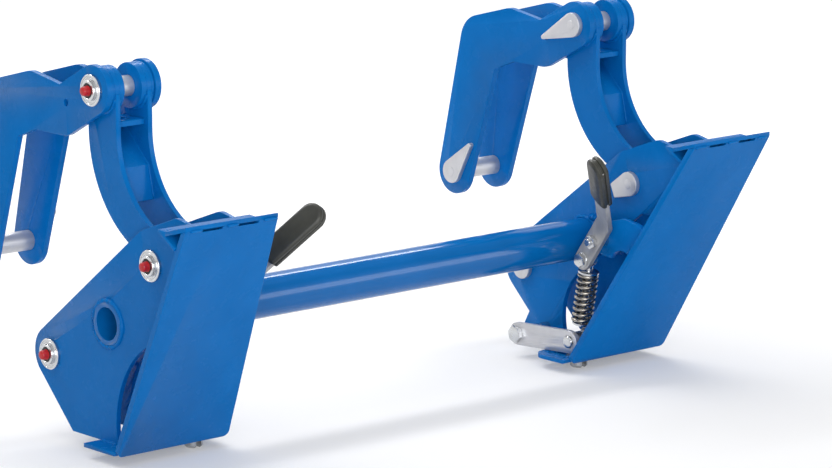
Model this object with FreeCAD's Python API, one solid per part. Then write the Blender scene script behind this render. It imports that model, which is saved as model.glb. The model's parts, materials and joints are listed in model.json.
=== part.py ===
import FreeCAD, Part
import math
import os

os.makedirs("parts", exist_ok=True)

# Frame: x across the machine, -y to the front, z up. Millimetres.
# The origin is on the arm pins' common axis, midway between the carriers.

# Face plates
face_lean = 29.0
face_height = 412.0
face_thick = 10.0
face_foot_y = -199.0
base_z = -112.0
face_inner_low = 337.0
face_inner_top = 403.0
face_outer_low = 536.0
face_outer_top = 564.0
face_corner = 9.0

# Pivot points in side view: (y, z)
arm_pin = (0.0, 0.0)
link_pin = (-243.0, 169.0)
top_pin = (-118.0, 402.0)
guide_pin = (162.0, 132.0)

# Carriers: a pair of side plates each side, mirrored about x = 0
carrier_x = 463.0
carrier_half = 42.0
side_thick = 8.0
arm_round = 40.0
link_round = 52.0
pin_r = 15.0
pin_play = 0.05

# Cross tube through all four side plates
tube_at = (-139.0, 68.0)
tube_r = 32.0
tube_wall = 8.0
tube_overhang = 3.0

# Top flange, falling to the rear, and the brace that closes a hollow behind the face plate
flange_depth = 47.2
flange_thick = 6.5
flange_slope = 15.3
brace_thick = 6.0
brace_slope = 31.0
lip_depth = 16.5
lip_rise = 1.0
slot_high = 3.0
slot_long = 35.0
slot_starts = (436.0, 499.0)

# Bottom plates
bottom_thick = 6.0
bottom_depth = 78.0
bottom_outer = 534.0
bottom_inner = 331.0
bottom_round = 26.0
drain_r = 7.0
drain_from_rear = 20.0

# Outline points of the side plates, and the scoops cut in their front edges
rear_foot_y = -50.0
inner_round_extra = 3.0
side_corner = (-302.0, 217.5)
side_corner_r = 27.0
side_crest_gap = 27.0
lug_reach = 52.0
lug_rise = 41.0
lug_corner_r = 3.0
lug_slope = 22.0
outer_scoop_up = 80.0
outer_scoop_deep = 73.0
outer_scoop_r = 146.0
inner_scoop_up = 35.0
inner_scoop_in = 34.0
inner_scoop_r = 96.0
inner_scoop_top = 222.0
inner_scoop_end_r = 28.0

# Tilt links: two curved plates, a web and two bosses each
link_half = 32.0
link_thick = 8.0
link_width = 66.0
link_rear_r = 175.0
link_front_r = 137.0
link_bend_z = 343.0
link_end_r = 36.0
boss_r = 33.0
eye_gap = 30.0
web_thick = 8.0
web_top = (-92.0, 348.0)
web_knee = (-152.0, 292.0)
web_low = (-163.0, 243.0)
cross_half = 26.0
cross_drop = 12.0
link_square = 4.0
link_rear_sweep = 71.0
link_front_sweep = 79.0
link_shift = 1.0

# Guide levers: a pair of plates each side
guide_half = 47.5
guide_thick = 10.0
guide_end_r = 36.0
guide_foot_r = 37.0
guide_elbow_r = 46.0
guide_back_r = 42.0
guide_hole_r = 5.0
side_play = 0.5

# Bends of the guide lever, measured from the top pin, and its elbow from the guide pin
guide_valley = (73.0, -39.0)
guide_back = (148.0, -33.0)
guide_elbow = (-60.0, 214.0)

# Pin heads, washers and grease caps
head_r = 19.0
head_thick = 8.0
tip_r = 3.5
square_tip_r = 3.0
square_tip_half = 9.0
arm_tip = (-14.0, 32.0)
link_tip = (31.0, -14.0)
top_tip = (64.0, -26.0)
guide_tip = (-43.0, 48.0)
washer_r = 23.0
washer_thick = 5.0
washer_bore = 0.5
pin_proud = 3.0
pin_chamfer = 1.5
cap_r = 7.0
cap_high = 11.0

# Lock pins: a plain tip below a slightly thicker body
lock_x = 380.0
lock_y = -172.0
lock_r = 14.0
lock_tip_r = 13.5
lock_reach = 14.0
lock_play = 0.3
lock_step = 0.5
lock_chamfer = 3.0
joint_z = -84.0
collar_r = 9.5
collar_thick = 3.0

# Hand levers and their grips
lever_pivot = (-220.0, 82.0)
crank = 39.4
crank_angle = -54.3
lever_thick = 8.0
lever_width = 32.0
lever_bend = 38.0
lever_arm = 176.0
lever_cant = 34.0
lever_x = 362.0
grip_length = 108.0
grip_half = 19.0
grip_thick = 20.0
grip_round = 7.0
grip_cover = 13.0

# Latch rods with their springs, and the slotted link at the lower end
rod_r = 6.0
rod_eye_r = 12.0
rod_eye_thick = 8.0
eye_overlap = 2.0
spring_wire = 5.0
spring_r = 14.0
spring_top = 24.0
spring_low = 106.0
spring_turns = 9.0
seat_thick = 3.0
link_plate_gap = 0.5
link_plate_thick = 6.0
link_plate_half = 8.0
link_plate_wall = 5.0
link_slot_r = 7.3
link_slot_up = 9.8
link_slot_down = 0.3
link_slot_aside = 1.85

# Straps between the lock pins and the side plates' lugs
link_foot = (-54.0, -91.0)
strap_half = 18.0
strap_thick = 8.0
strap_slot = 2.9
strap_slot_r = 5.5

# Bolts, nuts and the latch brackets
bolt_r = 6.0
stud_r = 5.0
stud_proud = 5.0
shoulder_wall = 4.0
bracket_thick = 8.0
bracket_x = 388.0
bracket_r = 26.0
bracket_crest = (-262.0, 94.5)
bracket_front = (-284.0, 91.0)
bracket_root = 182.0
arch_rear = (-257.0, 45.0)
arch_front = (-290.0, 25.0)
arch_r = 24.5
hex_across = 19.0
hex_high = 7.0
flange_face_r = 11.5
flange_face_thick = 1.5
strap_hex = 22.0
play = 0.3

# How far a cutting shape runs past the face that it cuts
past = 1.0

lean = math.radians(face_lean)
outer_out = carrier_x + carrier_half
outer_in = outer_out - side_thick
inner_in = carrier_x - carrier_half
inner_out = inner_in + side_thick


def at_face(up, behind):
    """(y, z) of a point given its distance up the face plate and behind its front."""
    y = face_foot_y - up * math.sin(lean) + behind * math.cos(lean)
    return (y, base_z + up * math.cos(lean) + behind * math.sin(lean))


def vec(x, point):
    return FreeCAD.Vector(x, point[0], point[1])


def polar(centre, r, angle):
    a = math.radians(angle)
    return (centre[0] + r * math.cos(a), centre[1] + r * math.sin(a))


def hull(x, rounds):
    """Flat face across x, wrapped round circles (y, z, r) given anticlockwise from +x."""
    edges = []
    count = len(rounds)
    normals = []
    for i in range(count):
        y1, z1, r1 = rounds[i]
        y2, z2, r2 = rounds[(i + 1) % count]
        gap = math.hypot(y2 - y1, z2 - z1)
        turn = math.degrees(math.acos((r1 - r2) / gap))
        normals.append(math.degrees(math.atan2(z2 - z1, y2 - y1)) - turn)
    for i in range(count):
        y1, z1, r1 = rounds[i]
        y2, z2, r2 = rounds[(i + 1) % count]
        arrive = normals[i - 1]
        leave = normals[i]
        sweep = (leave - arrive) % 360.0
        if r1 > 0 and sweep > 0.01:
            start = vec(x, polar((y1, z1), r1, arrive))
            middle = vec(x, polar((y1, z1), r1, arrive + sweep / 2))
            end = vec(x, polar((y1, z1), r1, leave))
            edges.append(Part.Arc(start, middle, end).toShape())
        start = vec(x, polar((y1, z1), r1, leave))
        end = vec(x, polar((y2, z2), r2, leave))
        edges.append(Part.makeLine(start, end))
    return Part.Face(Part.Wire(edges))


def hull_plate(x, thick, rounds):
    return hull(x, rounds).extrude(FreeCAD.Vector(thick, 0, 0))


def plate(x, thick, points):
    wire = Part.makePolygon([vec(x, p) for p in points + points[:1]])
    return Part.Face(wire).extrude(FreeCAD.Vector(thick, 0, 0))


def rod_x(x1, x2, point, r):
    """Round bar along x."""
    return Part.makeCylinder(r, x2 - x1, vec(x1, point), FreeCAD.Vector(1, 0, 0))


def ring_x(x1, x2, point, r, bore):
    return rod_x(x1, x2, point, r).cut(rod_x(x1 - past, x2 + past, point, bore))


def hex_x(x1, x2, point, across):
    corner = across / math.sqrt(3)
    points = [polar(point, corner, 60.0 * i) for i in range(6)]
    return plate(x1, x2 - x1, points)


def mirrored(shape):
    return shape.mirror(FreeCAD.Vector(0, 0, 0), FreeCAD.Vector(1, 0, 0))


def save(name, shape):
    shape = shape.removeSplitter()
    shape.exportStep("parts/" + name + ".step")
    print(name, len(shape.Solids), round(shape.Volume), shape.isValid())


def save_pair(name, shape):
    """The right-hand piece and its mirror image on the left."""
    shape = shape.removeSplitter()
    save(name + "_right", shape)
    save(name + "_left", mirrored(shape))


# Half-space behind the face plate, as a large block
def behind_face(x1, x2, low, high, near, far):
    points = [at_face(low, near), at_face(low, far), at_face(high, far), at_face(high, near)]
    return plate(x1, x2 - x1, points)


# Face plate: wider at the top, with small rounded lower corners
face_points = []
for x, up in ((face_inner_low, 0.0), (face_outer_low, 0.0), (face_outer_top, face_height),
              (face_inner_top, face_height)):
    face_points.append(vec(x, at_face(up, 0.0)))
back = vec(0, at_face(0, face_thick)) - vec(0, at_face(0, 0))
face_plate = Part.Face(Part.makePolygon(face_points + face_points[:1])).extrude(back)
corner_edges = []
for edge in face_plate.Edges:
    ends = [v.Point for v in edge.Vertexes]
    across = abs(abs((ends[1] - ends[0]).dot(back)) - back.dot(back)) < 1e-3
    if across and ends[0].z < base_z + face_height / 2:
        corner_edges.append(edge)
face_plate = face_plate.makeFillet(face_corner, corner_edges)

# Top flange on the upper edge of the face plate, falling to the rear
crest = at_face(face_height, 0.0)
fall = math.tan(math.radians(flange_slope))
tail = (crest[0] + flange_depth, crest[1] - flange_depth * fall)
flange_span = face_outer_top - face_inner_top


def raised(point, rise):
    return (point[0], point[1] + rise)


flange = plate(face_inner_top, flange_span,
               [crest, tail, raised(tail, flange_thick), raised(crest, flange_thick)])
save_pair("top_flange", flange)

# The face plate ends under the flange, with two slots in its upper edge
ahead = (crest[0] - face_thick, crest[1] + face_thick * fall)
above = plate(0, 2 * carrier_x,
              [ahead, tail, raised(tail, flange_depth), raised(ahead, flange_depth)])
face_plate = face_plate.cut(above)
for start in slot_starts:
    slot = plate(start, slot_long,
                 [raised(ahead, -slot_high), raised(tail, -slot_high), tail, ahead])
    face_plate = face_plate.cut(slot)
save_pair("face_plate", face_plate)

# Brace: a lip behind the flange, then a slope down and forward to the face plate's back
brace_back = polar(tail, brace_thick, brace_slope - 90)
lip_end = (tail[0] + lip_depth, tail[1] + flange_thick + lip_rise)
lip_foot = (lip_end[0], brace_back[1]
            + (lip_end[0] - brace_back[0]) * math.tan(math.radians(brace_slope)))
brace = plate(face_inner_top, flange_span,
              [tail, raised(tail, flange_thick), lip_end, lip_foot,
               polar(brace_back, flange_depth, brace_slope + 180),
               polar(tail, flange_depth, brace_slope + 180)])
brace = brace.common(behind_face(0, 2 * carrier_x, 0, 2 * face_height, face_thick, face_height))
save_pair("flange_brace", brace)

# Side plates: round at the arm pin, drawn forward to the face plate and up to the brace
floor_z = base_z + bottom_thick
front_low = at_face(0, face_thick)
foot_y = front_low[0] - bottom_thick * math.tan(lean)
foot = (foot_y - arm_round, floor_z, 0.0)
rear_foot = (rear_foot_y, floor_z, 0.0)
front_rounds = [link_pin + (link_round,), side_corner + (side_corner_r,),
                at_face(face_height - side_crest_gap, face_thick) + (0.0,), foot]
outer_plate = hull_plate(outer_in, side_thick,
                         [rear_foot, arm_pin + (arm_round,)] + front_rounds)
inner_plate = hull_plate(inner_in, side_thick,
                         [rear_foot, arm_pin + (arm_round + inner_round_extra,)] + front_rounds)
lug_rear = link_foot[0] + lug_reach
lug_high = link_foot[1] + lug_rise
lug = hull_plate(inner_in, side_thick, [(link_foot[0], floor_z, 0.0),
                                        (lug_rear, floor_z, 0.0),
                                        (lug_rear - lug_corner_r, link_foot[1], lug_corner_r),
                                        (lug_rear - lug_slope, lug_high, 0.0),
                                        (link_foot[0], lug_high, 0.0)])
inner_plate = inner_plate.fuse(lug)

# Scoops in face plate coordinates: up the face and behind it
outer_scoop = rod_x(outer_in - past, outer_out + past,
                    at_face(outer_scoop_up, outer_scoop_deep - outer_scoop_r), outer_scoop_r)
inner_scoop = hull_plate(inner_in - past, side_thick + 2 * past, [
    at_face(inner_scoop_up, inner_scoop_in) + (inner_scoop_r,),
    at_face(inner_scoop_top, inner_scoop_in) + (inner_scoop_end_r,)])


def finish_side(shape, x, scoop):
    """Trim to the face plate's back and the brace, then cut the scoop and the holes."""
    x1 = x - past
    x2 = x + side_thick + past
    far_high = polar(brace_back, face_height, brace_slope)
    far_low = polar(brace_back, face_height, brace_slope + 180)
    over = plate(x1, x2 - x1, [far_low, far_high, polar(far_high, face_height, brace_slope + 90),
                               polar(far_low, face_height, brace_slope + 90)])
    room = behind_face(x1, x2, -face_height, 2 * face_height, face_thick, 2 * face_height)
    shape = shape.common(room).cut(over).cut(scoop)
    for pin in (arm_pin, link_pin):
        shape = shape.cut(rod_x(x1, x2, pin, pin_r))
    return shape.cut(rod_x(x1, x2, tube_at, tube_r))


save_pair("side_plate_outer", finish_side(outer_plate, outer_in, outer_scoop))
inner_plate = finish_side(inner_plate, inner_in, inner_scoop)
strap_hole = rod_x(inner_in - past, inner_out + past, link_foot, bolt_r + pin_play)
save_pair("side_plate_inner", inner_plate.cut(strap_hole))

# Cross tube
half_tube = outer_out + tube_overhang
tube = ring_x(-half_tube, half_tube, tube_at, tube_r, tube_r - tube_wall)
save("cross_tube", tube)

# Bottom plate with a rounded inner rear corner, the lock pin's hole and a small hole
rear_y = foot_y + bottom_depth
bottom = Part.makeBox(bottom_outer - bottom_inner, bottom_depth + arm_round, bottom_thick,
                      FreeCAD.Vector(bottom_inner, foot_y - arm_round, base_z))
upright = []
for edge in bottom.Edges:
    ends = [v.Point for v in edge.Vertexes]
    if abs(ends[0].z - ends[1].z) > bottom_thick / 2 and ends[0].y > foot_y:
        if ends[0].x < carrier_x:
            upright.append(edge)
bottom = bottom.makeFillet(bottom_round, upright)
room = behind_face(0, 2 * carrier_x, -face_height, face_height, face_thick, 2 * face_height)
bottom = bottom.common(room)
up = FreeCAD.Vector(0, 0, 1)
hole_foot = FreeCAD.Vector(lock_x, lock_y, base_z - past)
hole_high = bottom_thick + 2 * past
bottom = bottom.cut(Part.makeCylinder(lock_r + lock_play, hole_high, hole_foot, up))
drain = FreeCAD.Vector(bottom_inner + bottom_round, rear_y - drain_from_rear, base_z - past)
bottom = bottom.cut(Part.makeCylinder(drain_r, hole_high, drain, up))
save_pair("bottom_plate", bottom)

# Latch bracket: from the face plate to the hand lever's pivot, with an arch under it
root = at_face(bracket_root, face_thick)
bracket = hull_plate(bracket_x, bracket_thick, [lever_pivot + (bracket_r,),
                                                bracket_crest + (bracket_r,),
                                                bracket_front + (bracket_r,), root + (0.0,)])
arch = hull_plate(bracket_x - past, bracket_thick + 2 * past, [arch_rear + (arch_r,),
                                                               arch_front + (arch_r,)])
bracket_hole = rod_x(bracket_x - past, bracket_x + bracket_thick + past, lever_pivot,
                     bolt_r + pin_play)
bracket = bracket.common(room).cut(arch).cut(bracket_hole)
save_pair("latch_bracket", bracket)


def head(x, centre, tip, corner_r, square):
    """Pear-shaped head plate: round about the pin, drawn out to a tip."""
    run = math.degrees(math.atan2(tip[1] - centre[1], tip[0] - centre[0]))
    left = polar(tip, square, run + 90)
    right = polar(tip, square, run - 90)
    rounds = [(centre[0], centre[1], head_r), (right[0], right[1], corner_r)]
    if square > 0:
        rounds.append((left[0], left[1], corner_r))
    return hull_plate(x, head_thick, rounds)


def pin(low_x, high_x, centre, shape):
    """Pin with its head on the inboard side and a short end beyond its washer."""
    end = high_x + washer_thick + pin_proud
    bar = rod_x(low_x, end, centre, pin_r - pin_play)
    rim = [e for e in bar.Edges if abs(e.BoundBox.XMin - end) < 1e-3]
    return bar.makeChamfer(pin_chamfer, rim).fuse(shape)


def cap(high_x, centre):
    """Domed grease cap on the pin's end."""
    start = high_x + washer_thick + pin_proud
    body = rod_x(start, start + cap_high - cap_r, centre, cap_r)
    dome = Part.makeSphere(cap_r, vec(start + cap_high - cap_r, centre))
    return body.fuse(dome.common(rod_x(start, start + 2 * cap_high, centre, cap_r)))


def washer(high_x, centre):
    """Retaining washer, with clearance round the pin."""
    flat = rod_x(high_x, high_x + washer_thick, centre, washer_r)
    rim = [e for e in flat.Edges if abs(e.BoundBox.XMin - high_x - washer_thick) < 1e-3]
    flat = flat.makeChamfer(pin_chamfer, rim)
    bore = rod_x(high_x - past, high_x + washer_thick + past, centre, pin_r + washer_bore)
    return flat.cut(bore)


def offset(point, step):
    return (point[0] + step[0], point[1] + step[1])


# Fixed pins of the carriers, with washers and grease caps
head_x = inner_in - head_thick
arm_head = head(head_x, arm_pin, offset(arm_pin, arm_tip), square_tip_r, square_tip_half)
link_head = head(head_x, link_pin, offset(link_pin, link_tip), square_tip_r, square_tip_half)
save_pair("arm_pin", pin(inner_in, outer_out, arm_pin, arm_head))
save_pair("link_pin", pin(inner_in, outer_out, link_pin, link_head))
washers = []
caps = []
for point in (arm_pin, link_pin):
    for piece, group in ((washer(outer_out, point), washers), (cap(outer_out, point), caps)):
        group.append(piece.removeSplitter())
        group.append(mirrored(piece.removeSplitter()))
Part.makeCompound(washers).exportStep("parts/frame_pin_washers.step")
Part.makeCompound(caps).exportStep("parts/frame_grease_caps.step")

# Tilt link plates
bend_y = top_pin[0] - link_shift
rear_centre = (bend_y + link_width / 2 - link_rear_r, link_bend_z)
front_centre = (bend_y - link_width / 2 - link_front_r, link_bend_z)


def link_profile(x, thick):
    """Curved band between the two pins, round at both ends."""
    a = polar(rear_centre, link_rear_r, 0)
    b = polar(rear_centre, link_rear_r, -link_rear_sweep / 2)
    c = polar(rear_centre, link_rear_r, -link_rear_sweep)
    d = polar(front_centre, link_front_r, -link_front_sweep)
    e = polar(front_centre, link_front_r, -link_front_sweep / 2)
    f = polar(front_centre, link_front_r, 0)
    top_a = (a[0], top_pin[1] - link_square)
    top_f = (f[0], top_pin[1] - link_square)
    edges = [Part.makeLine(vec(x, top_a), vec(x, a)),
             Part.Arc(vec(x, a), vec(x, b), vec(x, c)).toShape(),
             Part.makeLine(vec(x, c), vec(x, d)),
             Part.Arc(vec(x, d), vec(x, e), vec(x, f)).toShape(),
             Part.makeLine(vec(x, f), vec(x, top_f)),
             Part.makeLine(vec(x, top_f), vec(x, top_a))]
    band = Part.Face(Part.Wire(edges)).extrude(FreeCAD.Vector(thick, 0, 0))
    band = band.fuse(rod_x(x, x + thick, link_pin, link_end_r))
    band = band.fuse(rod_x(x, x + thick, top_pin, boss_r))
    return band


link_out = carrier_x + link_half
link_in = carrier_x - link_half
for name, x in (("link_plate_outer", link_out - link_thick), ("link_plate_inner", link_in)):
    side = link_profile(x, link_thick)
    for point in (link_pin, top_pin):
        side = side.cut(rod_x(x - past, x + link_thick + past, point, pin_r))
    save_pair(name, side)

# Bosses at the top pin: outside each plate, and inside towards the gap for a rod's eye
guide_out = carrier_x + guide_half
guide_in = carrier_x - guide_half
boss_out = guide_out - guide_thick - side_play
boss_in = guide_in + guide_thick + side_play
bosses = []
for x1, x2 in ((boss_in, link_in), (link_in + link_thick, carrier_x - eye_gap / 2),
               (carrier_x + eye_gap / 2, link_out - link_thick), (link_out, boss_out)):
    bosses.append(ring_x(x1, x2, top_pin, boss_r, pin_r))
save_pair("link_bosses", Part.makeCompound(bosses))

# Web between the link plates: a bent plate from the rear edge to the front, and a cross plate
web_x = link_in + link_thick
web_span = 2 * (link_half - link_thick)
web = plate(web_x, web_span, [web_top, web_knee, web_low, (web_low[0] + web_thick, web_low[1]),
                              (web_knee[0] + web_thick, web_knee[1] - web_thick / 2),
                              (web_top[0], web_top[1] - web_thick * math.sqrt(2))])
cross_z = top_pin[1] - boss_r - cross_drop
cross = plate(web_x, web_span, [(top_pin[0] - cross_half, cross_z),
                                (top_pin[0] + cross_half, cross_z),
                                (top_pin[0] + cross_half, cross_z - web_thick),
                                (top_pin[0] - cross_half, cross_z - web_thick)])
save_pair("link_web", web.fuse(cross))

# Top pin
tip = offset(top_pin, top_tip)
top_head = head(guide_in - head_thick, top_pin, tip, tip_r, 0.0)
save_pair("top_pin", pin(guide_in, guide_out, top_pin, top_head))

# Guide lever plates
stations = [top_pin + (guide_end_r,), offset(top_pin, guide_valley) + (guide_end_r,),
            offset(top_pin, guide_back) + (guide_back_r,),
            offset(guide_pin, guide_elbow) + (guide_elbow_r,), guide_pin + (guide_foot_r,)]
for name, x in (("guide_plate_outer", guide_out - guide_thick), ("guide_plate_inner", guide_in)):
    lever = None
    for i in range(len(stations) - 1):
        part = hull_plate(x, guide_thick, [stations[i], stations[i + 1]])
        lever = part if lever is None else lever.fuse(part)
    for point, r in ((top_pin, pin_r), (guide_pin, pin_r), (tip, guide_hole_r)):
        lever = lever.cut(rod_x(x - past, x + guide_thick + past, point, r))
    save_pair(name, lever)

# Guide pin, and the washers and grease caps of both pins in the guide lever
guide_head = head(guide_in - head_thick, guide_pin, offset(guide_pin, guide_tip), tip_r, 0.0)
save_pair("guide_pin", pin(guide_in, guide_out, guide_pin, guide_head))
guide_pins = (top_pin, guide_pin)
save_pair("guide_washers", Part.makeCompound([washer(guide_out, p) for p in guide_pins]))
save_pair("guide_caps", Part.makeCompound([cap(guide_out, p) for p in guide_pins]))

# Latch: hand lever, flat with a bent upper arm
lever_joint = polar(lever_pivot, crank, crank_angle)
rise = crank_angle + 180
bend_at = polar(lever_pivot, lever_bend, rise)
half_width = lever_width / 2
flat = hull_plate(lever_x, lever_thick, [lever_joint + (half_width,),
                                         polar(bend_at, half_width, rise - 90) + (0.0,),
                                         polar(bend_at, half_width, rise + 90) + (0.0,)])
cant = math.radians(lever_cant)
inboard = FreeCAD.Vector(-1, 0, 0)
along = vec(0, polar((0, 0), 1, rise))
sideways = vec(0, polar((0, 0), 1, rise + 90))
arm_way = along * math.cos(cant) + inboard * math.sin(cant)
arm_out = along * math.sin(cant) - inboard * math.cos(cant)
half_out = along * math.sin(cant / 2) - inboard * math.cos(cant / 2)
bend_line = vec(lever_x, bend_at)


def arm_block(start, length, half, low, thick):
    """Block along the lever's bent arm: low and thick are measured across the arm."""
    base = bend_line + arm_way * start + arm_out * low
    a = base - sideways * half
    b = base + sideways * half
    face = Part.Face(Part.makePolygon([a, b, b + arm_out * thick, a + arm_out * thick, a]))
    return face.extrude(arm_way * length)


arm = arm_block(0, lever_arm - grip_cover, half_width, 0, lever_thick)
corner = bend_line - sideways * half_width
wedge = Part.Face(Part.makePolygon([corner, corner - inboard * lever_thick,
                                    corner + half_out * lever_thick,
                                    corner + arm_out * lever_thick, corner]))
hand_lever = flat.fuse(arm).fuse(wedge.extrude(sideways * lever_width))
for point, r in ((lever_pivot, bolt_r + pin_play), (lever_joint, stud_r)):
    hole = rod_x(lever_x - past, lever_x + lever_thick + past, point, r)
    hand_lever = hand_lever.cut(hole)
save_pair("hand_lever", hand_lever)

# Rubber grip over the arm, with a round upper end and rounded rims
grip_start = lever_arm - grip_length
grip_low = (lever_thick - grip_thick) / 2
grip = arm_block(grip_start, grip_length - grip_half, grip_half, grip_low, grip_thick)
end_centre = bend_line + arm_way * (lever_arm - grip_half) + arm_out * grip_low
grip = grip.fuse(Part.makeCylinder(grip_half, grip_thick, end_centre, arm_out)).removeSplitter()
rims = []
for edge in grip.Edges:
    ends = [v.Point - bend_line for v in edge.Vertexes]
    level = abs((ends[0] - ends[-1]).dot(arm_out)) < 1e-3
    if level and max(p.dot(arm_way) for p in ends) > grip_start + past:
        rims.append(edge)
grip = grip.makeFillet(grip_round, rims)
save_pair("lever_grip", grip.cut(arm))

# Lever pivot: bolt with a spacer shoulder, and its nut
bracket_out = bracket_x + bracket_thick
bolt = rod_x(lever_x - hex_high - stud_proud, bracket_out, lever_pivot, bolt_r)
bolt = bolt.fuse(hex_x(bracket_out, bracket_out + hex_high, lever_pivot, hex_across))
bolt = bolt.fuse(rod_x(lever_x + lever_thick + play, bracket_x, lever_pivot,
                       bolt_r + shoulder_wall)).removeSplitter()
nut = hex_x(lever_x - hex_high - play, lever_x - play, lever_pivot, hex_across)
nut = nut.cut(rod_x(lever_x - hex_high - past, lever_x, lever_pivot, bolt_r + pin_play))
Part.makeCompound([bolt, mirrored(bolt)]).exportStep("parts/lever_pivot_bolts.step")
Part.makeCompound([nut, mirrored(nut)]).exportStep("parts/lever_pivot_nuts.step")

# Rod with an eye at the lever's crank, two spring seats and a slotted link beside the lock pin
lock_joint = (lock_y, joint_z)
rod_line = vec(0, lock_joint) - vec(0, lever_joint)
rod_turn = math.degrees(math.atan2(rod_line.z, rod_line.y))
rod_way = vec(0, polar((0, 0), 1, rod_turn))
eye_x = lock_x - rod_eye_thick / 2


def on_rod(along_rod, aside=0.0):
    """(y, z) of a point at a distance from the crank along the rod, and beside it."""
    return polar(polar(lever_joint, along_rod, rod_turn), aside, rod_turn + 90)


eye = rod_x(eye_x, eye_x + rod_eye_thick, lever_joint, rod_eye_r)
shank_from = rod_eye_r - eye_overlap
shank = Part.makeCylinder(rod_r, spring_low - shank_from, vec(lock_x, on_rod(shank_from)), rod_way)
rod = eye.fuse(shank)
for q, r in ((spring_top - seat_thick, spring_r + spring_wire / 2), (spring_low, spring_r)):
    rod = rod.fuse(Part.makeCylinder(r, seat_thick, vec(lock_x, on_rod(q)), rod_way))
rod = rod.cut(rod_x(eye_x - past, eye_x + rod_eye_thick + past, lever_joint, stud_r + pin_play))
link_x = lock_x + lock_r + link_plate_gap
link_out_x = link_x + link_plate_thick
tab_end = spring_low + seat_thick
tab = plate(lock_x + rod_r, link_out_x - lock_x - rod_r,
            [on_rod(spring_low, -link_plate_half), on_rod(spring_low, link_plate_half),
             on_rod(tab_end, link_plate_half), on_rod(tab_end, -link_plate_half)])
slot_low = on_rod(rod_line.Length + link_slot_down, link_slot_aside)
slot_high_end = on_rod(rod_line.Length - link_slot_up, link_slot_aside)
side_link = hull_plate(link_x, link_plate_thick,
                       [on_rod(spring_low, link_plate_half) + (0.0,),
                        on_rod(spring_low, -link_plate_half) + (0.0,),
                        slot_low + (link_slot_r + link_plate_wall,)])
slot = hull_plate(link_x - past, link_plate_thick + 2 * past,
                  [slot_high_end + (link_slot_r,), slot_low + (link_slot_r,)])
save_pair("latch_rod", rod.fuse(tab).fuse(side_link.cut(slot)))

# Compression spring round the rod
length = spring_low - spring_top - spring_wire - 2 * play
helix = Part.makeHelix(length / spring_turns, length, spring_r)
profile = Part.Wire(Part.makeCircle(spring_wire / 2, FreeCAD.Vector(spring_r, 0, 0),
                                    FreeCAD.Vector(0, 1, 0)))
spring = Part.Wire(helix).makePipeShell([profile], True, True)
turn = FreeCAD.Rotation(FreeCAD.Vector(0, 0, 1), rod_way)
start_at = vec(lock_x, on_rod(spring_top + spring_wire / 2 + play))
spring.Placement = FreeCAD.Placement(start_at, turn)
save_pair("latch_spring", spring)

# Bolt that joins the lever's crank to the rod, with a washer face under its head
crank_bolt = rod_x(lever_x, eye_x + rod_eye_thick + eye_overlap, lever_joint, stud_r)
face_x = lever_x - flange_face_thick
crank_bolt = crank_bolt.fuse(rod_x(face_x, lever_x, lever_joint, flange_face_r))
crank_bolt = crank_bolt.fuse(hex_x(face_x - hex_high, face_x, lever_joint, hex_across))
save_pair("crank_bolt", crank_bolt)

# Lock pin: round top, plain tip with a bevelled end, and a cross bolt with a collar
step_z = base_z - lock_step
tip_foot = FreeCAD.Vector(lock_x, lock_y, base_z - lock_reach)
body_foot = FreeCAD.Vector(lock_x, lock_y, step_z)
lock_tip = Part.makeCylinder(lock_tip_r, lock_reach - lock_step, tip_foot, up)
rim = [e for e in lock_tip.Edges if e.BoundBox.ZMax < tip_foot.z + lock_step]
lock_tip = lock_tip.makeChamfer(lock_chamfer, rim)
lock_body = Part.makeCylinder(lock_r, joint_z - step_z, body_foot, up)
lock_top = rod_x(lock_x - lock_r, lock_x + lock_r, lock_joint, lock_r)
lock_top = lock_top.common(Part.makeCylinder(lock_r, face_height, body_foot, up))
strap_x = lock_x - lock_r - strap_thick - play
bolt_in = strap_x - play
collar_x = link_out_x + play
cross_bolt = rod_x(bolt_in, collar_x, lock_joint, stud_r)
cross_bolt = cross_bolt.fuse(rod_x(collar_x, collar_x + collar_thick, lock_joint, collar_r))
cross_bolt = cross_bolt.fuse(hex_x(bolt_in - hex_high, bolt_in, lock_joint, hex_across))
save_pair("lock_pin", lock_tip.fuse(lock_body).fuse(lock_top).fuse(cross_bolt))

# Strap between the lock pin and the side plate's lug, slotted at the lock pin
strap = hull_plate(strap_x, strap_thick, [link_foot + (strap_half,), lock_joint + (strap_half,)])
strap_turn = math.degrees(math.atan2(joint_z - link_foot[1], lock_y - link_foot[0]))
slot_far = polar(lock_joint, strap_slot, strap_turn)
strap = strap.cut(rod_x(strap_x - past, strap_x + strap_thick + past, link_foot,
                        bolt_r + pin_play))
strap = strap.cut(hull_plate(strap_x - past, strap_thick + 2 * past,
                             [lock_joint + (strap_slot_r,), slot_far + (strap_slot_r,)]))
save_pair("latch_strap", strap)

# Strap pivot bolt with a sleeve, fixed in the inner side plate
strap_bolt = rod_x(bolt_in, inner_out, link_foot, bolt_r)
strap_bolt = strap_bolt.fuse(hex_x(bolt_in - hex_high, bolt_in, link_foot, strap_hex))
strap_bolt = strap_bolt.fuse(rod_x(strap_x + strap_thick + play, inner_in, link_foot,
                                   bolt_r + shoulder_wall)).removeSplitter()
Part.makeCompound([strap_bolt, mirrored(strap_bolt)]).exportStep("parts/strap_pivot_bolts.step")
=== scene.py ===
import json
import math

import bpy
from mathutils import Matrix, Vector

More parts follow.
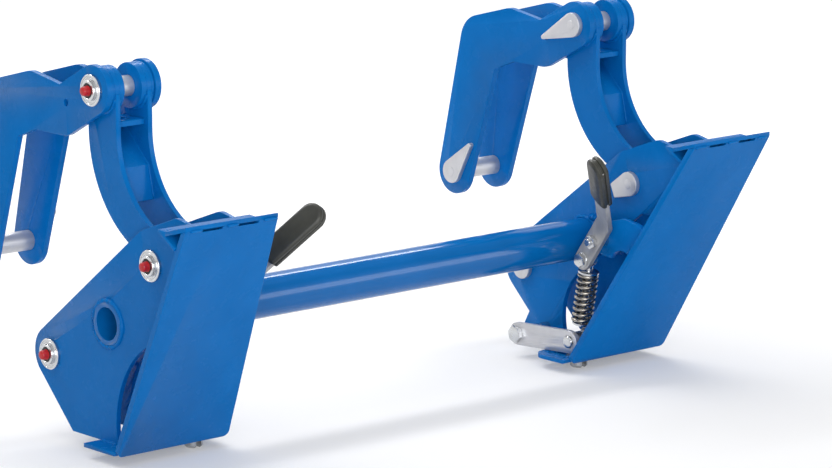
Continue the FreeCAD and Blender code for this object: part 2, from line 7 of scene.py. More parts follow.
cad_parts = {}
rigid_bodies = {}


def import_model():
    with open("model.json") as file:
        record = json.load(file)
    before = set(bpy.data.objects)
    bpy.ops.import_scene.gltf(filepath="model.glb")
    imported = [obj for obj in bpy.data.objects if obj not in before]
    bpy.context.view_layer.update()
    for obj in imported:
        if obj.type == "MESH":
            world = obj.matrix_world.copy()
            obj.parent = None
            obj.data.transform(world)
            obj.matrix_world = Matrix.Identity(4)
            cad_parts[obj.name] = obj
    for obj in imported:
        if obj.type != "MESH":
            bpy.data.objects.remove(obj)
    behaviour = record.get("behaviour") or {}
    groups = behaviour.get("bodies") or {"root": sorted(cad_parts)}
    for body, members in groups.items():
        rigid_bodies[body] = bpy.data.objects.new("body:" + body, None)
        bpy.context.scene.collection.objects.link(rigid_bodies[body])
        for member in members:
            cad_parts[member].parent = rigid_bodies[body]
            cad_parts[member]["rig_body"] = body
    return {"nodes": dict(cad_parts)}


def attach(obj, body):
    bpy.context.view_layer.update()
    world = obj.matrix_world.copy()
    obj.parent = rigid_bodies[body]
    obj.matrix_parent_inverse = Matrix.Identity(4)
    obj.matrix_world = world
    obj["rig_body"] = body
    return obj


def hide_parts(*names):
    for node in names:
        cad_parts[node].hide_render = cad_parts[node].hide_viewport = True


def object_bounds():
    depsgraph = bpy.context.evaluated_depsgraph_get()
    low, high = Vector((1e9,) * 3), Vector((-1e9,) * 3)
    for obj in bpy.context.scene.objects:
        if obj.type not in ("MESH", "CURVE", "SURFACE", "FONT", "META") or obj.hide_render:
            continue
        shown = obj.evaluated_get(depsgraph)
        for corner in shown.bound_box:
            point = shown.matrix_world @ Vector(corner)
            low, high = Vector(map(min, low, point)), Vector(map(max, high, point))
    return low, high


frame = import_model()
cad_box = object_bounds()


# Studio: a pale matt floor just under the lock pins' tips, large soft lamps in front, above
# and behind, and a camera with a long lens, low and to the front left. None of it is part of
# the object. Lengths are in metres.
def linear(code):
    """Linear RGBA of an sRGB hex colour."""
    out = []
    for i in (1, 3, 5):
        c = int(code[i:i + 2], 16) / 255
        out.append(c / 12.92 if c <= 0.04045 else ((c + 0.055) / 1.055) ** 2.4)
    return (*out, 1.0)


def add_node(tree, kind, links=(), **values):
    """One shader node. links are (its input, other node, other's output), values its settings."""
    node = tree.nodes.new(kind)
    for key, value in values.items():
        if hasattr(node, key) and key not in node.inputs:
            setattr(node, key, value)
        else:
            node.inputs[key.replace("_", " ")].default_value = value
    for into, source, out in links:
        tree.links.new(source.outputs[out], node.inputs[into])
    return node


def seen_white(tree):
    """1 on rays from the camera, glossy rays and transmission rays, and 0 on the others."""
    path = add_node(tree, "ShaderNodeLightPath")
    seen = add_node(tree, "ShaderNodeMath", [(0, path, "Is Camera Ray"),
                                             (1, path, "Is Glossy Ray")], operation="MAXIMUM")
    return add_node(tree, "ShaderNodeMath", [(0, seen, 0), (1, path, "Is Transmission Ray")],
                    operation="MAXIMUM")


floor_gap = 0.0015
floor_z = cad_box[0].z - floor_gap
floor_half = 60.0
bpy.ops.object.select_all(action="DESELECT")
bpy.ops.mesh.primitive_plane_add(size=2 * floor_half, location=(0, 0, floor_z))
floor = bpy.context.object
floor.name = "studio_floor"
floor_paint = bpy.data.materials.new("matt_studio_floor")
floor_paint.use_nodes = True
tree = floor_paint.node_tree
tree.nodes.clear()
seen = seen_white(tree)
matt = add_node(tree, "ShaderNodeBsdfDiffuse", Color=linear("#D6D6D7"))
where = add_node(tree, "ShaderNodeTexCoord")
reach = add_node(tree, "ShaderNodeVectorMath", [(0, where, "Object")], operation="LENGTH")
glow_near, glow_far = 0.27, 0.64
pale = add_node(tree, "ShaderNodeMapRange", [("Value", reach, "Value")],
                From_Min=0.9, From_Max=2.6, To_Min=glow_near, To_Max=glow_far)
pale = add_node(tree, "ShaderNodeMath", [(0, seen, 0), (1, pale, 0)], operation="MULTIPLY")
glow = add_node(tree, "ShaderNodeEmission", [("Strength", pale, 0)], Color=linear("#FFFFFF"))
both = add_node(tree, "ShaderNodeAddShader", [(0, matt, 0), (1, glow, 0)])
add_node(tree, "ShaderNodeOutputMaterial", [("Surface", both, 0)])
floor.data.materials.append(floor_paint)

world = bpy.data.worlds.new("studio_air")
bpy.context.scene.world = world
world.use_nodes = True
tree = world.node_tree
tree.nodes.clear()
fill, overhead = 0.16, 0.2
where = add_node(tree, "ShaderNodeTexCoord")
height = add_node(tree, "ShaderNodeSeparateXYZ", [("Vector", where, "Generated")])
band = add_node(tree, "ShaderNodeMapRange", [("Value", height, "Z")],
                From_Min=0.25, From_Max=0.6, To_Min=1.0, To_Max=overhead)
level = add_node(tree, "ShaderNodeMapRange",
                 [("Value", seen_white(tree), 0), ("To Max", band, 0)], To_Min=fill)
air = add_node(tree, "ShaderNodeBackground", [("Strength", level, 0)], Color=(1, 1, 1, 1))
add_node(tree, "ShaderNodeOutputWorld", [("Surface", air, 0)])


def lamp(name, kind, place, aim, energy, **settings):
    """Soft lamp at a place, turned towards a point."""
    data = bpy.data.lights.new(name, kind)
    data.energy = energy
    for key, value in settings.items():
        setattr(data, key, value)
    obj = bpy.data.objects.new(name, data)
    bpy.context.scene.collection.objects.link(obj)
    obj.location = place
    obj.rotation_euler = (Vector(aim) - Vector(place)).to_track_quat("-Z", "Y").to_euler()


lamp("front_lamp", "AREA", (-2.3, -2.9, 0.75), (0, 0, 0.1), 64,
     shape="RECTANGLE", size=2.4, size_y=1.6)
lamp("fill_lamp", "AREA", (1.9, -3.0, 0.6), (0.46, -0.3, 0.06), 20,
     shape="RECTANGLE", size=1.6, size_y=1.2)
lamp("tube_lamp", "AREA", (1.77, 1.33, 1.8), (0, -0.05, 0.1), 6,
     shape="RECTANGLE", size=1.8, size_y=0.8)
lamp("strip_lamp", "AREA", (0.2, 1.1, 1.8), (0, -0.15, 0.1), 36,
     shape="RECTANGLE", size=3.2, size_y=0.22)
lamp("rear_lamp", "AREA", (0.6, 3.2, 1.8), (0, 0, 0.1), 16,
     shape="RECTANGLE", size=2.6, size_y=1.8)
lamp("sky_lamp", "SUN", (-0.35, -0.5, 3.0), (0, 0, 0), 1.3, angle=math.radians(85))

camera_data = bpy.data.cameras.new("camera")
camera_data.sensor_width = 36.0
camera_data.lens = 180.2
camera = bpy.data.objects.new("camera", camera_data)
bpy.context.scene.collection.objects.link(camera)
camera.location = (-3.94836, -4.78159, 1.38016)
camera.rotation_euler = (math.radians(78.41), 0.0, math.radians(-40.9))
bpy.context.scene.camera = camera
bpy.context.scene.view_settings.view_transform = "Standard"


# Carrier plates: two flame-cut side plates each side, the leaning face plate with its top
# flange, brace and bottom plate, and the cross tube through all four side plates. Blasted mild
# steel under two-coat enamel; every cut edge was ground before painting, so it is slightly round.
mm = 0.001


def pattern(tree, size_mm, detail=2.0, stretch=(1, 1, 1)):
    """Noise on Object coordinates whose blobs are about size_mm across."""
    where = add_node(tree, "ShaderNodeTexCoord")
    moved = add_node(tree, "ShaderNodeMapping", [("Vector", where, "Object")], Scale=stretch)
    return add_node(tree, "ShaderNodeTexNoise", [("Vector", moved, 0)],
                    Scale=1.0 / (size_mm * mm), Detail=detail)


def between(tree, value, low, high):
    """Spreads a 0.3 to 0.7 noise value over low to high."""
    return add_node(tree, "ShaderNodeMapRange", [("Value", value, 0)],
                    From_Min=0.3, From_Max=0.7, To_Min=low, To_Max=high)


def two_tone(tree, value, dark, light):
    """Colour that runs from dark to light with a noise value."""
    mix = add_node(tree, "ShaderNodeMix", [(0, between(tree, value, 0.0, 1.0), 0)],
                   data_type="RGBA")
    mix.inputs[6].default_value = linear(dark)
    mix.inputs[7].default_value = linear(light)
    return mix


def surface(name, colour, roughness, bump, depth_mm, strength=0.3, **sockets):
    """Principled material. colour and roughness are (tree) -> node, bump the noise for relief."""
    material = bpy.data.materials.new(name)
    material.use_nodes = True
    tree = material.node_tree
    tree.nodes.clear()
    relief = add_node(tree, "ShaderNodeBump", [("Height", bump(tree), 0)],
                      Strength=strength, Distance=depth_mm * mm)
    shader = add_node(tree, "ShaderNodeBsdfPrincipled",
                      [("Base Color", colour(tree), 2), ("Roughness", roughness(tree), 0),
                       ("Normal", relief, 0)], **sockets)
    add_node(tree, "ShaderNodeOutputMaterial", [("Surface", shader, 0)])
    return material


# Enamel on blasted steel: a satin gloss, with orange peel about 4 mm across (drawn coarser
# than the real 2 mm so that it shows) and a slow drift in tone from the spray passes
enamel = surface(
    "satin_enamel_on_blasted_steel",
    lambda t: two_tone(t, pattern(t, 70.0, 3.0), "#0269B4", "#076FBC"),
    lambda t: between(t, pattern(t, 25.0, 3.0), 0.22, 0.30),
    lambda t: pattern(t, 4.0), 0.05, 0.2, Specular_IOR_Level=0.08)


def alone(obj=None):
    """Selects this object only, or nothing."""
    bpy.ops.object.select_all(action="DESELECT")
    if obj:
        obj.select_set(True)
        bpy.context.view_layer.objects.active = obj


def applied(obj, kind, **settings):
    """Adds a modifier with these settings and applies it."""
    alone(obj)
    change = obj.modifiers.new("change", kind)
    for key, value in settings.items():
        setattr(change, key, value)
    bpy.ops.object.modifier_apply(modifier="change")


def dressed(obj, material, edge_mm=0.0, smooth=30):
    """Gives a finished mesh its material, eased edges and smooth shading below an angle."""
    obj.data.materials.clear()
    obj.data.materials.append(material)
    if edge_mm:
        applied(obj, "BEVEL", width=edge_mm * mm, segments=2, limit_method="ANGLE",
                angle_limit=math.radians(35), harden_normals=True)
    alone(obj)
    bpy.ops.object.shade_smooth_by_angle(angle=math.radians(smooth))
    return obj


def merged(node):
    """A copy of a CAD node's mesh, without its doubles and its flat inner edges."""
    obj = bpy.data.objects.new("dressed_" + node, frame["nodes"][node].data.copy())
    bpy.context.scene.collection.objects.link(obj)
    alone(obj)
    bpy.ops.object.mode_set(mode="EDIT")
    bpy.ops.mesh.select_all(action="SELECT")
    bpy.ops.mesh.remove_doubles(threshold=0.00001)
    bpy.ops.mesh.customdata_custom_splitnormals_clear()
    bpy.ops.mesh.dissolve_limited(angle_limit=math.radians(0.3))
    bpy.ops.object.mode_set(mode="OBJECT")
    return obj


def fitted(obj, body, slot, *nodes):
    """Ties a piece to its body and hides the CAD nodes that it stands for. slot is not used."""
    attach(obj, body)
    if nodes:
        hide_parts(*nodes)
    return obj


def eased(node, edge_mm, material, slot):
    """A CAD node's shape with eased edges, in the node's place."""
    obj = dressed(merged(node), material, edge_mm)
    return fitted(obj, frame["nodes"][node]["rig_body"], slot, node)


sides = {"right": 1, "left": -1}
cut_edge = 0.9
carrier_plates = ("side_plate_outer", "side_plate_inner", "face_plate", "top_flange",
                  "flange_brace", "bottom_plate")
for side in sides:
    for plate in carrier_plates:
        eased(f"{plate}_{side}", cut_edge, enamel, "blue_paint")

# Enamel on the drawn tube: the same paint, but it lies smoother and shinier, with orange peel
# only about 8 mm across
tube_enamel = surface(
    "gloss_enamel_on_drawn_tube",
    lambda t: two_tone(t, pattern(t, 70.0, 3.0), "#0262A8", "#0768B2"),
    lambda t: between(t, pattern(t, 25.0, 3.0), 0.10, 0.18),
    lambda t: pattern(t, 8.0), 0.06, 0.2, Specular_IOR_Level=0.3)
eased("cross_tube", 1.2, tube_enamel, "blue_paint")


# Carrier welds: the fillets that join tube, side plates, face plate, flange and bottom plate.
# Each is a hand-run bead of overlapping ripples, a few millimetres high, under the same paint.
def bead(name, body, r, lines, wander=0.07):
    """Rippled weld beads along lines of points in mm, on the right, with their left-hand twin."""
    ripple = 1.9
    for side, sign in sides.items():
        curve = bpy.data.curves.new(f"{name}_{side}", "CURVE")
        curve.dimensions = "3D"
        curve.bevel_depth = r * mm
        curve.bevel_resolution = 1
        curve.use_fill_caps = True
        for line in lines:
            path = [Vector(line[0])]
            for a, b in zip(line, line[1:]):
                a, b = Vector(a), Vector(b)
                steps = max(1, round((b - a).length / ripple))
                path += [a.lerp(b, (i + 1) / steps) for i in range(steps)]
            spline = curve.splines.new("POLY")
            spline.points.add(len(path) - 1)
            for i, (point, at) in enumerate(zip(spline.points, path)):
                end = min(i, len(path) - 1 - i)
                point.co = (sign * at.x * mm, at.y * mm, at.z * mm, 1)
                point.radius = ((1.0 if i % 2 else 0.84) + wander * math.sin(1.3 * i + at.z)) * (
                    0.55 if end == 0 else 1.0)
        obj = bpy.data.objects.new(curve.name, curve)
        bpy.context.scene.collection.objects.link(obj)
        alone(obj)
        bpy.ops.object.convert(target="MESH")
        dressed(bpy.context.object, enamel, smooth=60)
        fitted(bpy.context.object, f"{body}_{side}" if body != "frame" else body, "blue_paint")


def arc(x, centre, r, start, end, step=6):
    """Points of an arc in a plane across x, with angles in degrees from +Y towards +Z."""
    count = max(2, round(abs(end - start) / step))
    turns = [math.radians(start + (end - start) * i / count) for i in range(count + 1)]
    return [(x, centre[0] + r * math.cos(a), centre[1] + r * math.sin(a)) for a in turns]


face_lean = math.radians(29.0)


def on_back(x, up, clear=0.0):
    """Point up the back of the face plate from its foot, or clear of it to the rear."""
    lean, thick, foot = face_lean, 10.0 + clear, (-199.0, -112.0)
    return (x, foot[0] - up * math.sin(lean) + thick * math.cos(lean),
            foot[1] + up * math.cos(lean) + thick * math.sin(lean))


outer_x, inner_x, plate_thick = 497.0, 421.0, 8.0
inner_faces = (inner_x, inner_x + plate_thick)
outer_faces = (outer_x, outer_x + plate_thick)
tube_centre, tube_r = (-139.0, 68.0), 32.0
bead("weld_tube", "frame", 4.2,
     [arc(x, tube_centre, tube_r + 1.5, 0, 360) for x in inner_faces + outer_faces], 0.17)
above_outer_scoop, above_inner_scoop, under_brace = 202, 238, 368
bead("weld_face", "frame", 3.4,
     [[on_back(x, above_outer_scoop), on_back(x, under_brace)] for x in outer_faces]
     + [[on_back(x, above_inner_scoop), on_back(x, under_brace)] for x in inner_faces])
foot_front, foot_z = -193.0, -106.0
bead("weld_foot", "frame", 3.2,
     [[(x, -155.0, foot_z), (x, -119.0, foot_z)] for x in outer_faces]
     + [[(a, foot_front, foot_z), (b, foot_front, foot_z)]
        for a, b in ((345.0, 404.0), (432.0, 524.0))])
flange_front, flange_under = -399.2, 247.4
bead("weld_flange", "frame", 2.6,
     [[(a, flange_front, flange_under), (b, flange_front, flange_under)]
      for a, b in ((405, 428), (474, 492), (538, 556))])
# The bead over the tube ends in a lump, where the welder stopped
bead("weld_lump", "frame", 5.2, [[(420.5, -167.0, 103.0), (420.5, -152.0, 104.5)]], 0.2)


# Tilt link: two curved plates, four boss rings round the top pin and a bent web with a drilled
# cross plate between them. Flame-cut mild steel, welded with small beads and painted as one.
cross_hole_r, cross_hole_at = 9.0, (463.0, -116.0, 356.0)
for side, sign in sides.items():
    for plate in ("link_plate_outer", "link_plate_inner", "link_bosses"):
        eased(f"{plate}_{side}", cut_edge, enamel, "blue_paint")
    web = merged(f"link_web_{side}")
    alone()
    bpy.ops.mesh.primitive_cylinder_add(
        vertices=40, radius=cross_hole_r * mm, depth=40 * mm,
        location=(sign * cross_hole_at[0] * mm, cross_hole_at[1] * mm, cross_hole_at[2] * mm))
    drill = bpy.context.object
    applied(web, "BOOLEAN", operation="DIFFERENCE", object=drill, solver="EXACT")
    bpy.data.objects.remove(drill)
    dressed(web, enamel, 0.7)
    fitted(web, f"tilt_link_{side}", "blue_paint", f"link_web_{side}")
link_inside = (439.0, 487.0)
web_line = ((-92.0, 346.0), (-152.0, 292.0), (-163.0, 246.0))
bead("weld_web", "tilt_link", 1.7, [[(x, y, z) for y, z in web_line] for x in link_inside])
boss_centre, boss_r, boss_roots = (-118.0, 402.0), 33.0, (430.6, 439.4, 486.6, 495.4)
bead("weld_boss", "tilt_link", 2.8,
     [arc(x, boss_centre, boss_r + 0.8, 198, 342) for x in boss_roots])


# Guide lever: two hooked plates that carry the top pin and the guide pin. Flame-cut mild steel
# with a small drilled hole near the elbow, and the same paint as the rest.
for side in sides:
    for plate in ("guide_plate_outer", "guide_plate_inner"):
        eased(f"{plate}_{side}", cut_edge, enamel, "blue_paint")


# Hinge pins: ground bar with a pear-shaped keeper plate plug-welded to the inner end. Bright
# zinc plate, dull on the flame-cut keeper, because its scale was only brushed off.
# Dull zinc: pale and matt, with faint clouds a few centimetres across
dull_zinc = surface(
    "dull_zinc_on_brushed_plate",
    lambda t: two_tone(t, pattern(t, 30.0, 3.0), "#C6C6C9", "#CFCFD2"),
    lambda t: between(t, pattern(t, 12.0, 3.0), 0.44, 0.54),
    lambda t: pattern(t, 1.6), 0.04, Metallic=0.75)
# Bright zinc: clear highlights, a little uneven from the bath
bright_zinc = surface(
    "bright_zinc_on_turned_steel",
    lambda t: two_tone(t, pattern(t, 25.0, 3.0), "#C4C6C8", "#CDCFD1"),
    lambda t: between(t, pattern(t, 9.0, 3.0), 0.20, 0.28),
    lambda t: pattern(t, 1.2), 0.03, Metallic=1.0)
pins = (("arm_pin", "frame", (0.0, 0.0), 413.0), ("link_pin", "frame", (-243.0, 169.0), 413.0),
        ("top_pin", "guide_lever", (-118.0, 402.0), 407.5),
        ("guide_pin", "guide_lever", (162.0, 132.0), 407.5))
for pin, *_ in pins:
    for side in sides:
        eased(f"{pin}_{side}", 0.8, dull_zinc, "zinc_plate")


# Washers, pin ends and grease caps: turned washers with two grooves, a raised rim on each pin
# end round its grease hole, a near-black disc in it as painted shade for that recess, and a domed
# push-in cap of red plastic.
def stacked(rings, sides_count=48):
    """Round piece up +Z at the origin, extruded ring by ring from (height, radius) in mm."""
    alone()
    bpy.ops.mesh.primitive_circle_add(vertices=sides_count, radius=rings[0][1] * mm,
                                      fill_type="NGON", location=(0, 0, rings[0][0] * mm))
    bpy.ops.object.transform_apply(location=True)
    bpy.ops.object.mode_set(mode="EDIT")
    bpy.ops.mesh.select_all(action="SELECT")
    for (low, wide), (high, r) in zip(rings, rings[1:]):
        bpy.ops.mesh.extrude_region_move(
            TRANSFORM_OT_translate={"value": (0, 0, (high - low) * mm)})
        bpy.ops.transform.resize(value=(r / wide, r / wide, 1),
                                 center_override=(0, 0, high * mm))
    bpy.ops.mesh.select_all(action="SELECT")
    bpy.ops.mesh.normals_make_consistent(inside=False)
    bpy.ops.object.mode_set(mode="OBJECT")
    return bpy.context.object


def placed(obj, place, way, across=(0, 1, 0)):
    """Moves a piece made at the origin up +Z to a place in mm, with +Z turned to a way."""
    z = Vector(way).normalized()
    x = (Vector(across) - z * z.dot(Vector(across))).normalized()
    turn = Matrix((x, z.cross(x), z)).transposed().to_4x4()
    turn.translation = Vector(place) * mm
    obj.data.transform(turn)
    return obj


def both_sides(obj, name, body, slot, *nodes):
    """Fits a right-hand piece and its left-hand twin, a mirrored mesh of its own."""
    twin = bpy.data.objects.new(name + "_left", obj.data.copy())
    bpy.context.scene.collection.objects.link(twin)
    twin.data.transform(Matrix.Scale(-1, 4, (1, 0, 0)))
    twin.data.flip_normals()
    obj.name = name + "_right"
    for piece, side in ((obj, "right"), (twin, "left")):
        own = [n if n in frame["nodes"] else f"{n}_{side}" for n in nodes]
        fitted(piece, body if body == "frame" else f"{body}_{side}", slot, *own)


# Moulded polyethylene: a soft red shine
cap_plastic = surface(
    "red_polyethylene",
    lambda t: two_tone(t, pattern(t, 6.0, 3.0), "#B01E26", "#C2262C"),
    lambda t: between(t, pattern(t, 6.0, 3.0), 0.28, 0.38),
    lambda t: pattern(t, 2.0), 0.04, Specular_IOR_Level=0.4)
# Near black and dull, drawn as a rubber disc: painted shade for the recess round each grease cap
shade_disc_rubber = surface(
    "near_black_painted_shade",
    lambda t: two_tone(t, pattern(t, 4.0, 3.0), "#1A1A1B", "#262627"),
    lambda t: between(t, pattern(t, 4.0, 3.0), 0.5, 0.65),
    lambda t: pattern(t, 1.5), 0.05)
washer_rings = [(0, 23), (4.2, 23), (5, 22.2), (5, 20.4), (4.3, 19.9), (4.3, 18.9), (5, 18.4),
                (5, 17.2), (4.5, 16.8), (4.5, 15.4)]
rim_rings = [(-2, 14.9), (0.6, 14.9), (1.4, 14.2), (1.4, 11.4), (0.4, 10.7)]
shade_disc_rings = [(-0.5, 10.8), (0.7, 10.6), (0.9, 9.8), (0.5, 8.4), (0.5, 7.2)]
cap_rings = [(0.2, 7.6), (1.6, 7.6), (2.0, 7.0), (7.6, 6.9), (9.6, 6.2), (10.6, 4.8), (11, 2.4),
             (11, 0.4)]
plug_rings = [(-1, 7.5), (0.3, 7.5), (0.9, 6.6), (0.8, 5.2), (1.3, 3.8), (1.2, 1.6)]
past_washer = 8.0
for pin, body, centre, keeper_x in pins:
    washer_x = 505.0 if body == "frame" else 510.5
    end_x = washer_x + past_washer
    caps = "frame_grease_caps" if body == "frame" else "guide_caps"
    washers = "frame_pin_washers" if body == "frame" else "guide_washers"
    for rings, part, x, material, slot, nodes in (
            (washer_rings, "washer", washer_x, bright_zinc, "zinc_plate", [washers]),
            (rim_rings, "rim", end_x, bright_zinc, "zinc_plate", []),
            # painted shade: a near-black disc in the recess round each grease cap
            (shade_disc_rings, "shade_disc", end_x, shade_disc_rubber, "rubber_grip", []),
            (cap_rings, "cap", end_x, cap_plastic, "red_cap", [caps])):
        piece = placed(stacked(rings), (x, *centre), (1, 0, 0))
        both_sides(dressed(piece, material, smooth=38), f"{pin}_{part}", body, slot, *nodes)
    plug = placed(stacked(plug_rings, 24), (keeper_x, *centre), (-1, 0, 0))
    both_sides(dressed(plug, dull_zinc, smooth=50), f"{pin}_plug_weld", body, "zinc_plate")


# Slot strips: thin strips of mild steel that close the two slots under each flange from
# behind, tacked to the back of the face plate and painted with it.
slot_long, slot_up, strip_clear = 35.0, 401.0, 0.6
strip_size = (41 * mm, 1.2 * mm, 8 * mm)
for name, start in (("inner", 436.0), ("outer", 499.0)):
    alone()
    bpy.ops.mesh.primitive_cube_add(
        size=1, location=[v * mm for v in on_back(start + slot_long / 2, slot_up, strip_clear)],
        rotation=(face_lean, 0, 0), scale=strip_size)
    bpy.ops.object.transform_apply(location=True, rotation=True, scale=True)
    both_sides(dressed(bpy.context.object, enamel, 0.3), f"slot_strip_{name}", "frame",
               "blue_paint")


# Latch bracket: a flame-cut arm welded to the back of the face plate, which carries the hand
# lever. The beads run down both of its faces at the root.
for side in sides:
    eased(f"latch_bracket_{side}", cut_edge, enamel, "blue_paint")
bead("weld_bracket", "frame", 2.8,
     [[on_back(x, 188), on_back(x, 240)] for x in (388.0, 396.0)])


# Hand lever: flat bar, bent out for the hand, with two drilled holes. Zinc plated after a
# linish along its length, so it is satin grey with fine lines.
# Linished bar: lines along its length spread the highlight. They are drawn 1.4 mm apart, which
# is coarser than the real 0.2 mm, so that they show
satin_zinc = surface(
    "satin_zinc_on_linished_bar",
    lambda t: two_tone(t, pattern(t, 8.0, 4.0, (1, 1, 0.2)), "#A2A2A3", "#B0B0B1"),
    lambda t: between(t, pattern(t, 5.0, 3.0, (1, 1, 0.12)), 0.42, 0.54),
    lambda t: pattern(t, 1.4, 2.0, (1, 1, 0.08)), 0.05, Metallic=0.6)
for side in sides:
    eased(f"hand_lever_{side}", 0.7, satin_zinc, "zinc_plate")


# Lever bolts and nuts: hexagon heads with turned corners, a nut with the bolt's threaded end
# through it, and a crank bolt with a washer face. Cold-headed steel, bright zinc plate.
def hex_head(across, high):
    """Hexagon with turned corners, up +Z at the origin."""
    turned = stacked([(-1, across * 0.62), (high - across * 0.08, across * 0.62),
                      (high, across * 0.47)], 48)
    alone()
    bpy.ops.mesh.primitive_cylinder_add(
        vertices=6, radius=across / math.sqrt(3) * mm, depth=(high + 1) * mm,
        location=(0, 0, (high + 1) / 2 * mm))
    prism = bpy.context.object
    bpy.ops.object.transform_apply(location=True)
    applied(prism, "BOOLEAN", operation="INTERSECT", object=turned, solver="EXACT")
    bpy.data.objects.remove(turned)
    return prism


def joined(pieces):
    """One object of several pieces."""
    alone(pieces[0])
    for piece in pieces:
        piece.select_set(True)
    bpy.ops.object.join()
    return bpy.context.object


def thread(r, low, high, pitch=1.75, chamfer=0.8):
    """Rings of a threaded end, with a crest every pitch."""
    rings, at = [(low, r)], low
    while at + pitch < high - chamfer:
        rings += [(at + 0.5, r), (at + 0.9, r - 0.7), (at + 1.3, r - 0.7), (at + pitch, r)]
        at += pitch
    return rings + [(high - chamfer, r), (high, r - 0.9)]


lever_pivot, lever_joint = (-220.0, 82.0), (-197.01, 50.0)
lever_x, nut_x, nut_across, stub_long = 362.0, 361.7, 19, 11.9
joint_rings = [(-26, 5), (0, 5), (0, 11.5), (1.2, 11.5), (1.5, 11.2)]
eased("lever_pivot_bolts", 0.5, bright_zinc, "zinc_plate")
inboard = (-1, 0, 0)
nut = joined([
    placed(hex_head(nut_across, 7), (nut_x, *lever_pivot), inboard, (0, 0.5, 0.87)),
    placed(stacked(thread(6.15, 0, stub_long), 24), (nut_x, *lever_pivot), inboard)])
both_sides(dressed(nut, bright_zinc), "lever_pivot_nut", "frame", "zinc_plate",
           "lever_pivot_nuts")
bolt = joined([
    placed(stacked(joint_rings), (lever_x, *lever_joint), inboard),
    placed(hex_head(nut_across, 7), (lever_x - 1.5, *lever_joint), inboard)])
both_sides(dressed(bolt, bright_zinc), "crank_bolt_head", "latch_lever", "zinc_plate",
           "crank_bolt")


# Grip: a sleeve of dipped vinyl over the lever's end, with a round tip, soft rims and a
# moulded groove along its narrow sides. It is pushed on over the bar's bent upper arm.
# Moulded vinyl: olive grey and half dull, with a fine grain from its mould
grip_vinyl = surface(
    "moulded_vinyl",
    lambda t: two_tone(t, pattern(t, 25.0, 3.0), "#292A25", "#34352E"),
    lambda t: between(t, pattern(t, 8.0, 3.0), 0.36, 0.5),
    lambda t: pattern(t, 1.2), 0.08, Specular_IOR_Level=0.5)
grip_long, grip_half, bend_reach, tip_reach = 108.0, 19.0, 38.0, 176.0
rise, cant = math.radians(125.7), math.radians(34.0)
along = Vector((0, math.cos(rise), math.sin(rise)))
arm_way = along * math.cos(cant) + Vector(inboard) * math.sin(cant)
arm_out = along * math.sin(cant) - Vector(inboard) * math.cos(cant)
bend = Vector((lever_x, *lever_pivot)) + along * bend_reach
cuff, off_bar = 0.3, 4.0
alone()
bpy.ops.mesh.primitive_circle_add(vertices=56, radius=grip_half * mm, fill_type="NGON")
grip = bpy.context.object
bpy.ops.object.mode_set(mode="EDIT")
bpy.ops.mesh.select_all(action="DESELECT")
bpy.ops.object.mode_set(mode="OBJECT")
for vertex in grip.data.vertices:
    vertex.select = vertex.co.x < -0.00001
bpy.ops.object.mode_set(mode="EDIT")
bpy.ops.transform.resize(value=(cuff, 1, 1), center_override=(0, 0, 0))
bpy.ops.transform.translate(value=(-(grip_long - grip_half * (1 + cuff)) * mm, 0, 0))
bpy.ops.mesh.select_all(action="SELECT")
middle = (grip_half - grip_long / 2) * mm
grip_rings = [(-10, 5), (-9.4, 3.4), (-8.2, 1.4), (-6, 0), (-2.6, 0), (-1.9, 0.7), (-1.5, 2.2),
              (1.5, 2.2), (1.9, 0.7), (2.6, 0), (6, 0), (8.2, 1.4), (9.4, 3.4), (10, 5)]
low, before = grip_rings[0][0], 0.0
bpy.ops.transform.translate(value=(0, 0, low * mm))
for high, inset in grip_rings:
    if high > low:
        bpy.ops.mesh.extrude_region_move(
            TRANSFORM_OT_translate={"value": (0, 0, (high - low) * mm)})
    bpy.ops.transform.resize(
        value=((grip_long - 2 * inset) / (grip_long - 2 * before),
               (grip_half - inset) / (grip_half - before), 1),
        center_override=(middle, 0, high * mm))
    low, before = high, inset
bpy.ops.mesh.select_all(action="SELECT")
bpy.ops.mesh.normals_make_consistent(inside=False)
bpy.ops.object.mode_set(mode="OBJECT")
placed(grip, bend + arm_way * (tip_reach - grip_half) + arm_out * off_bar, arm_out, arm_way)
both_sides(dressed(grip, grip_vinyl, smooth=32), "grip_sleeve", "latch_lever", "rubber_grip",
           "lever_grip")


# Latch rod and spring: a rod with an eye at the crank and two seats, and a compression spring
# of oiled 6 mm wire between them, with its end coils closed.
for side in sides:
    eased(f"latch_rod_{side}", 0.5, bright_zinc, "zinc_plate")
# Drawn spring steel under oil: warm dark grey with tight highlights
spring_wire = surface(
    "oiled_spring_steel",
    lambda t: two_tone(t, pattern(t, 8.0, 3.0), "#8C877F", "#ABA69E"),
    lambda t: between(t, pattern(t, 5.0, 3.0), 0.22, 0.34),
    lambda t: pattern(t, 1.0), 0.03, Metallic=1.0)
rod_turn = math.radians(-79.43)
rod_way = (0, math.cos(rod_turn), math.sin(rod_turn))
wire_r, coil_r, coil_low, coil_high = 2.9, 14.0, 24.2, 105.8
coils, closed_coils, first_angle, per_turn = 9.0, 0.75, 0.6, 24
curve = bpy.data.curves.new("spring_coils", "CURVE")
curve.dimensions = "3D"
curve.bevel_depth = wire_r * mm
curve.bevel_resolution = 2
curve.use_fill_caps = True
spline = curve.splines.new("POLY")
total = round(coils * per_turn)
spline.points.add(total)
climb, open_coils = coil_high - coil_low - 2 * wire_r, coils - closed_coils
for i in range(total + 1):
    turn = i / per_turn
    share = min(max(turn - closed_coils / 2, 0.0), open_coils) / open_coils
    angle = 2 * math.pi * turn + first_angle
    spline.points[i].co = (coil_r * mm * math.cos(angle), coil_r * mm * math.sin(angle),
                           (coil_low + wire_r + climb * share) * mm, 1)
spring = bpy.data.objects.new("spring_coils", curve)
bpy.context.scene.collection.objects.link(spring)
alone(spring)
bpy.ops.object.convert(target="MESH")
spring = placed(bpy.context.object, (380.0, *lever_joint), rod_way, (1, 0, 0))
both_sides(dressed(spring, spring_wire, smooth=60), "spring_coils", "latch_rod", "spring_steel",
           "latch_spring")


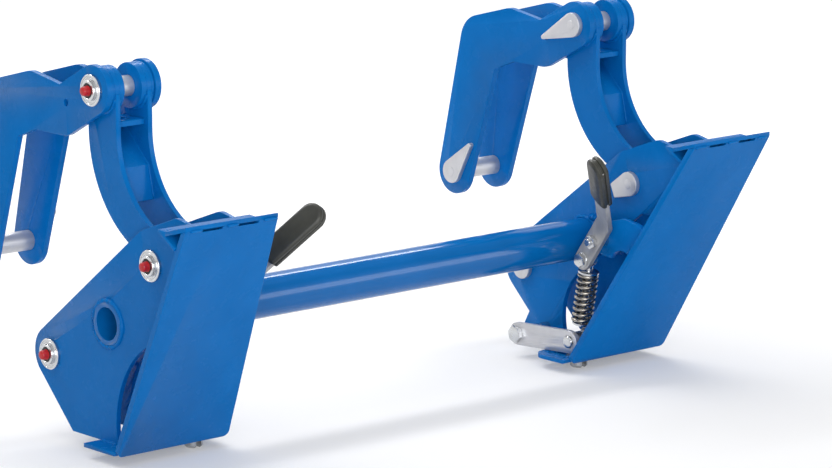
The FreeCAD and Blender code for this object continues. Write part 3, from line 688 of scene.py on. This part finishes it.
# Lock pin: turned bar with a slotted tip, and a cross bolt with a low round head that holds
# the strap. Zinc plated; the slot's walls are left from the saw.
lock_x, lock_y, lock_z, tip_z = 380.0, -172.0, -84.0, -126.0
slot_width, slot_deep, overrun = 9.0, 14.0, 2.0
head_x, shank_end_x = 357.5, 357.3
# Zinc on the lock pin, darker grey than the rest as painted shade, so that its reflection of the
# pale floor doesn't wash it out; half polished
shaded_lock_pin_zinc = surface(
    "zinc_on_lock_pin_painted_dark",
    lambda t: two_tone(t, pattern(t, 8.0, 3.0), "#9C9EA1", "#B4B6B9"),
    lambda t: between(t, pattern(t, 6.0, 3.0), 0.26, 0.36),
    lambda t: pattern(t, 1.2), 0.04, Metallic=1.0)
for side, sign in sides.items():
    pin = merged(f"lock_pin_{side}")
    alone()
    bpy.ops.mesh.primitive_cube_add(
        size=1, location=(sign * lock_x * mm, lock_y * mm,
                          (tip_z + slot_deep / 2 - overrun / 2) * mm),
        scale=(slot_width * mm, 60 * mm, (slot_deep + overrun) * mm))
    saw = bpy.context.object
    applied(pin, "BOOLEAN", operation="DIFFERENCE", object=saw, solver="EXACT")
    bpy.data.objects.remove(saw)
    # The cross bolt's plain head is cut away, and the round head below takes its place
    alone(pin)
    bpy.ops.object.mode_set(mode="EDIT")
    bpy.ops.mesh.select_all(action="SELECT")
    bpy.ops.mesh.bisect(plane_co=(sign * shank_end_x * mm, 0, 0), plane_no=(-sign, 0, 0),
                        use_fill=True, clear_outer=True)
    bpy.ops.object.mode_set(mode="OBJECT")
    dressed(pin, shaded_lock_pin_zinc, 0.5)
    fitted(pin, f"lock_pin_{side}", "zinc_plate", f"lock_pin_{side}")
    eased(f"latch_strap_{side}", 0.8, dull_zinc, "zinc_plate")
head_rings = [(-0.2, 9.5), (1.6, 9.5), (3.0, 8.6), (3.8, 6.6), (4.1, 3.4), (4.1, 0.6)]
head = placed(stacked(head_rings), (head_x, lock_y, lock_z), inboard)
both_sides(dressed(head, bright_zinc), "cross_bolt_head", "lock_pin", "zinc_plate")


# Strap pivot: a large hexagon bolt through the strap, with a sleeve that holds the strap clear
# of the inner side plate. Bright zinc plate.
strap_pivot = (357.4, -54.0, -91.0)
sleeve_rings = [(-63.6, 10), (-8.4, 10), (-8.4, 6), (0, 6)]
bolt = joined([placed(hex_head(24, 8), strap_pivot, inboard, (0, 0.97, -0.26)),
               placed(stacked(sleeve_rings), strap_pivot, inboard)])
both_sides(dressed(bolt, bright_zinc), "strap_pivot_bolt", "frame", "zinc_plate",
           "strap_pivot_bolts")
